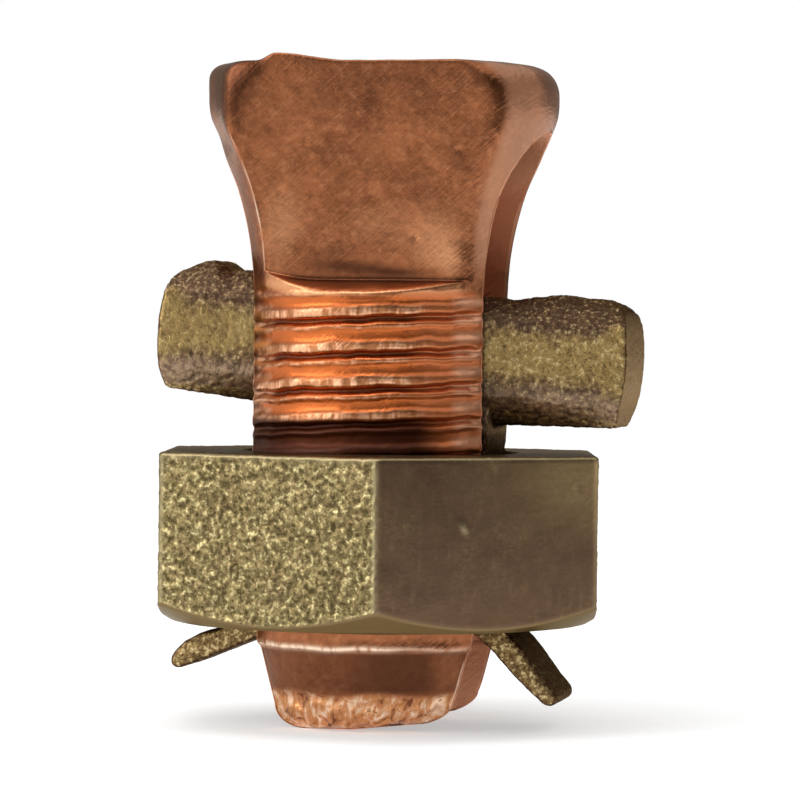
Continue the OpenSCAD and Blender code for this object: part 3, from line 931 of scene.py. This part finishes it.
# The right prong leaves the nut steeply and curves out, the left one has a thick round back
curve_out = 0.25 * mm
curve_z = 3.2 * mm
curve_h = 0.9 * mm
back_swell = 0.22 * mm
tip_reach = 0.18 * mm
tip_drop = 0.08 * mm
x, y, z = points_of(bar).T
normals = normals_of(bar)
left_reach = ramp(-x, 6 * mm, 7.2 * mm) * (z < nut_z)
left_back = ramp(normals[:, 2], 0.2, 0.7) * ramp(-x, 5.4 * mm, 6.4 * mm) * (z < nut_z)
left_back *= ramp(-x, 7.4 * mm, 6.7 * mm)
x += curve_out * hump(z, curve_z, curve_h) * (x > 0)
x += back_swell * normals[:, 0] * left_back - tip_reach * left_reach
z += back_swell * normals[:, 2] * left_back - tip_drop * left_reach

# Places along the leaning bar and above its axis
along = x * math.cos(bar_lean) - (z - nut_z) * math.sin(bar_lean)
level = x * math.sin(bar_lean) + (z - nut_z) * math.cos(bar_lean) - bar_axis_z
on_bar = ramp(level, -3 * mm, -2.7 * mm)
on_top = ramp(level, 1.2 * mm, 2 * mm) * on_bar
# A lump on the bar's top: its place along the bar, its height and its width, in mm
lumps = [
    (-7.15, 0.27, 0.6), (-6.4, -0.1, 0.35), (-5.7, 0.08, 0.35),
    (6.0, 0.09, 0.7), (7.5, 0.04, 0.4), (4.2, -0.12, 0.6),
]
rise = sum(tall * mm * hump(along, at * mm, wide * mm) for at, tall, wide in lumps)
z += rise * on_top * ramp(np.abs(y), 2.6 * mm, 1.2 * mm)
move_points(bar, np.stack([x, y, z], axis=-1))
normals = normals_of(bar)
side_facing = np.abs(normals[:, 1])
end_facing = np.abs(normals[:, 0])
band_low = -0.62 - 0.3 * ramp(np.abs(along), 7.6 * mm, 8.6 * mm)
band_high = 0.98 + 0.65 * ramp(np.abs(along), 7.4 * mm, 8.5 * mm)
in_band = ramp(level / mm, band_low - 0.55, band_low + 0.45)
in_band *= ramp(level / mm, band_high + 0.5, band_high - 0.5)
rubbed = in_band * ramp(side_facing, 0.7, 0.95)
bar_end = ramp(end_facing, 0.75, 0.95) * on_bar
end_patch = ramp(np.abs(level), 1.6 * mm, 0.6 * mm) * bar_end
bottom_edge = on_bar * ramp(level, -1.9 * mm, -2.1 * mm) * hump(side_facing, 0.7, 0.2)
end_seam = hump(side_facing, 0.65, 0.3) * ramp(end_facing, 0.3, 0.6) * on_bar
below_nut = ramp(z, nut_z + nut_h, nut_z)
prong_front = (1 - on_bar) * ramp(side_facing, 0.8, 0.97) * below_nut
store(bar, "rubbed", np.clip(rubbed + 0.8 * end_patch, 0, 1))
store(bar, "grain", np.clip(1 - 0.4 * rubbed - 0.6 * bar_end, 0.1, 1) * (0.4 + 0.6 * on_bar))
right_rub = rubbed * ramp(x, 3 * mm, 5 * mm)
# Painted glints on the prongs' fronts below the nut and along the bar's bottom edge, with some gilt where
# the right side is rubbed
store(bar, "gilt", np.clip(0.8 * prong_front + bottom_edge + 0.3 * right_rub, 0, 1))
store(bar, "seam", end_seam)
store(bar, "end", bar_end * (0.45 + 0.55 * ramp(np.abs(level), 2.1 * mm, 0.9 * mm)))
# Painted reflection of the floor: paler low on the bar's sides where they turn down
store(bar, "pale", on_bar * ramp(level, -0.7 * mm, -1.5 * mm) * ramp(side_facing, 0.3, 0.7))
# The scale mark is painted shade: on the bar's top towards the right, low beside the bolt, on the prongs'
# sides and most where the prongs are up inside the nut
dark_top = ramp(level, 1.1 * mm, 1.7 * mm) * ramp(along, 1 * mm, 3 * mm)
by_bolt = ramp(along, 6 * mm, 4.6 * mm) * ramp(along, 0, 1 * mm) * ramp(level, 0, -1.6 * mm)
prong_side = (1 - on_bar) * np.maximum(ramp(side_facing, 0.92, 0.7), 1.3 * (1 - below_nut))
store(bar, "scale", np.clip(0.85 * dark_top + 0.7 * by_bolt, 0, 1) + prong_side)

# Cast bronze: olive gold where it is rubbed, brown and dull where the mould left it rough, darker with
# painted shade on the top towards the right, beside the bolt and on the prongs, paler low on its sides with
# painted reflection, and with painted glints on the prong fronts and the bottom edge
bronze, tree, shader = new_material(
    "cast_bronze", {"Metallic": 1.0, "Specular Tint": linear("#bcb2a4")}
)
coords = add_node(tree, "ShaderNodeTexCoord", out="Object")
mark = {
    name: add_node(tree, "ShaderNodeAttribute", out="Fac", attribute_name=name)
    for name in ("rubbed", "gilt", "seam", "pit", "end", "pale", "scale")
}
noise = {}
for name, size, detail in [("scale", 0.8, 5.0), ("grit", 0.15, 3.0)]:
    noise[name] = add_node(tree, "ShaderNodeTexNoise", {
        "Vector": coords, "Scale": 1 / (size * mm), "Detail": detail, "Roughness": 0.66,
    })
rub = mark["rubbed"]
for name, spread in [("scale", 0.3), ("grit", 0.2)]:
    uneven_rub = add_node(
        tree, "ShaderNodeMapRange", {0: noise[name], 1: 0.3, 2: 0.7, 3: -spread, 4: spread}
    )
    rub = add_node(tree, "ShaderNodeMath", {0: uneven_rub, 1: rub}, operation="ADD")
gold = add_node(
    tree, "ShaderNodeMix", {0: noise["scale"], 6: linear("#846a42"), 7: linear("#b0955f")},
    out=2, data_type="RGBA",
)
paint(tree, shader, linear("#5a4436"), [
    (noise["grit"], 0.42, 0.68, 1.0, "#94795a"),
    (mark["pale"], 0.0, 1.0, 0.75, "#b89c80"),
    (mark["scale"], 0.0, 1.3, 0.9, "#3c281a"),
    (rub, 0.1, 0.9, 1.0, gold),
    (noise["grit"], 0.25, 0.7, mark["gilt"], "#a5894f"),
    (mark["pit"], -0.3, -0.8, 0.6, "#45342a"),
    (noise["grit"], 0.57, 0.72, 0.7, "#cdb988"),
    (noise["grit"], 0.44, 0.31, 0.7, "#4d3d2c"),
    (noise["grit"], 0.52, 0.66, mark["gilt"], "#e8d4a0"),
    (mark["end"], 0.0, 1.0, 0.85, "#a88c68"),
    (mark["seam"], 0.0, 1.0, 0.75, "#4a3320"),
])
dull = add_node(tree, "ShaderNodeMapRange", {0: rub, 3: 0.5, 4: 0.34})
tree.links.new(dull, shader.inputs["Roughness"])
bump = add_node(tree, "ShaderNodeBump", {"Height": noise["grit"], "Strength": 0.7, "Distance": 0.05 * mm})
tree.links.new(bump, shader.inputs["Normal"])

shape_with(bar, cast_grain, {
    "Grain Size": 0.24 * mm, "Grain Depth": 0.06 * mm,
    "Swell Size": 2 * mm, "Swell Depth": 0.05 * mm, "Material": bronze,
})
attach(bar, "bar")
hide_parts("pressure_bar")

# Floor and room
# A plain white floor in a white room. Part of the floor's white is its own, so that it stays white
# around the object and still takes its shadow.
floor_size = 3.0
floor_glow = 0.42
room_light = 0.75


def seen_directly(tree):
    """1 for rays that show the white room itself: from the camera, mirrored or through glass."""
    paths = add_node(tree, "ShaderNodeLightPath").node.outputs
    seen = paths["Is Camera Ray"]
    for path in ("Is Glossy Ray", "Is Transmission Ray"):
        seen = add_node(tree, "ShaderNodeMath", {0: seen, 1: paths[path]}, operation="MAXIMUM")
    return seen


bpy.ops.mesh.primitive_grid_add(x_subdivisions=2, y_subdivisions=2, size=floor_size)
floor = bpy.context.object
floor.name = "floor"
white, tree, shader = new_material("white_floor", {
    "Base Color": linear("#e4e4e4"), "Roughness": 1.0, "Specular IOR Level": 0.0,
    "Emission Color": linear("#ffffff"),
})
own_white = add_node(tree, "ShaderNodeMath", {0: seen_directly(tree), 1: floor_glow}, operation="MULTIPLY")
tree.links.new(own_white, shader.inputs["Emission Strength"])
floor.data.materials.append(white)

world = bpy.data.worlds.new("white_room")
bpy.context.scene.world = world
world.use_nodes = True
tree = world.node_tree
room = tree.nodes["Background"]
strength = add_node(tree, "ShaderNodeMapRange", {0: seen_directly(tree), 3: room_light, 4: 1.0})
tree.links.new(strength, room.inputs["Strength"])
room.inputs["Color"].default_value = linear("#ffffff")

# Studio light
# One large soft lamp in front on the left and one above, and grey panels round the rest for the metal
# to mirror: darkest in front on the right.
panel_r = 0.6
panel_rows = 9
panel_columns = 25
mat_z = 0.5 * mm


def soft_lamp(name, azimuth, elevation, distance, size, power):
    """A square soft lamp that looks at the object, placed as a view of it is."""
    a = math.radians(azimuth)
    e = math.radians(elevation)
    away = Vector((math.sin(a) * math.cos(e), -math.cos(a) * math.cos(e), math.sin(e)))
    lamp = bpy.data.lights.new(name, "AREA")
    lamp.size = size
    lamp.energy = power
    held = bpy.data.objects.new(name, lamp)
    held.location = Vector((0, 0, bolt_top / 2)) + away * distance
    held.rotation_euler = away.to_track_quat("Z", "Y").to_euler()
    bpy.context.scene.collection.objects.link(held)


soft_lamp("key_softbox", azimuth=-52, elevation=24, distance=0.4, size=0.26, power=0.55)
soft_lamp("top_softbox", azimuth=-25, elevation=68, distance=0.45, size=0.2, power=0.35)


def grey_panel(name, azimuths, radii, heights, grey):
    """A panel round the object between two azimuths, from one radius and height to another, that only
    reflections see."""
    angles = np.radians(np.linspace(*azimuths, panel_columns))
    points = [
        (r * math.sin(a), -r * math.cos(a), h)
        for r, h in zip(np.linspace(*radii, panel_rows), np.linspace(*heights, panel_rows))
        for a in angles
    ]
    mesh = bpy.data.meshes.new(name)
    mesh.from_pydata(points, [], grid_quads(panel_rows, panel_columns, 0).tolist())
    panel = bpy.data.objects.new(name, mesh)
    bpy.context.scene.collection.objects.link(panel)
    card = new_material(name + "_card", {
        "Base Color": linear("#000000"), "Specular IOR Level": 0.0,
        "Emission Color": linear(grey), "Emission Strength": 1.0,
    })
    mesh.materials.append(card[0])
    panel.visible_camera = False
    panel.visible_diffuse = False
    panel.visible_shadow = False


grey_panel("front_panel", (-26, 24), (panel_r, panel_r), (0.0, 0.5), "#a8a8a8")
grey_panel("front_mat", (-30, 24), (0.1, panel_r), (mat_z, mat_z), "#b4b4b4")
grey_panel("right_panel", (24, 86), (panel_r, panel_r), (0.0, 0.5), "#5e5a56")
grey_panel("right_mat", (24, 86), (0.07, panel_r), (mat_z, mat_z), "#8a8682")
grey_panel("far_right_panel", (86, 130), (panel_r, panel_r), (0.0, 0.4), "#cfcdca")
grey_panel("back_panel", (130, 250), (panel_r, panel_r), (0.0, 0.4), "#8c8a88")

# Camera
# Level with the thread, a little to the right of the front flat, far enough for a long lens.
camera_turn = math.radians(11.8)
camera_far = 143.6 * mm
camera_z = 14.137 * mm
focal_px = 3847.9
image_px = 800
centre_px = (381.0, 345.4)
lean = math.radians(0.641)
lens = bpy.data.cameras.new("camera")
lens.sensor_width = 36
lens.lens = focal_px / image_px * lens.sensor_width
lens.clip_start = 1 * mm
camera = bpy.data.objects.new("camera", lens)
bpy.context.scene.collection.objects.link(camera)
right = Vector((math.cos(camera_turn), math.sin(camera_turn), 0))
up = Vector((0, 0, 1))
ahead = Vector((-math.sin(camera_turn), math.cos(camera_turn), 0))
off_right = (image_px / 2 - centre_px[0]) / focal_px
off_down = (image_px / 2 - centre_px[1]) / focal_px
aim = (ahead + right * off_right - up * off_down).normalized()
camera.rotation_euler = (
    aim.to_track_quat("-Z", "Y").to_matrix() @ Matrix.Rotation(lean, 3, "Z")
).to_euler()
camera.location = Vector((0, 0, camera_z)) - ahead * camera_far
bpy.context.scene.camera = camera
bpy.context.scene.view_settings.view_transform = "Standard"
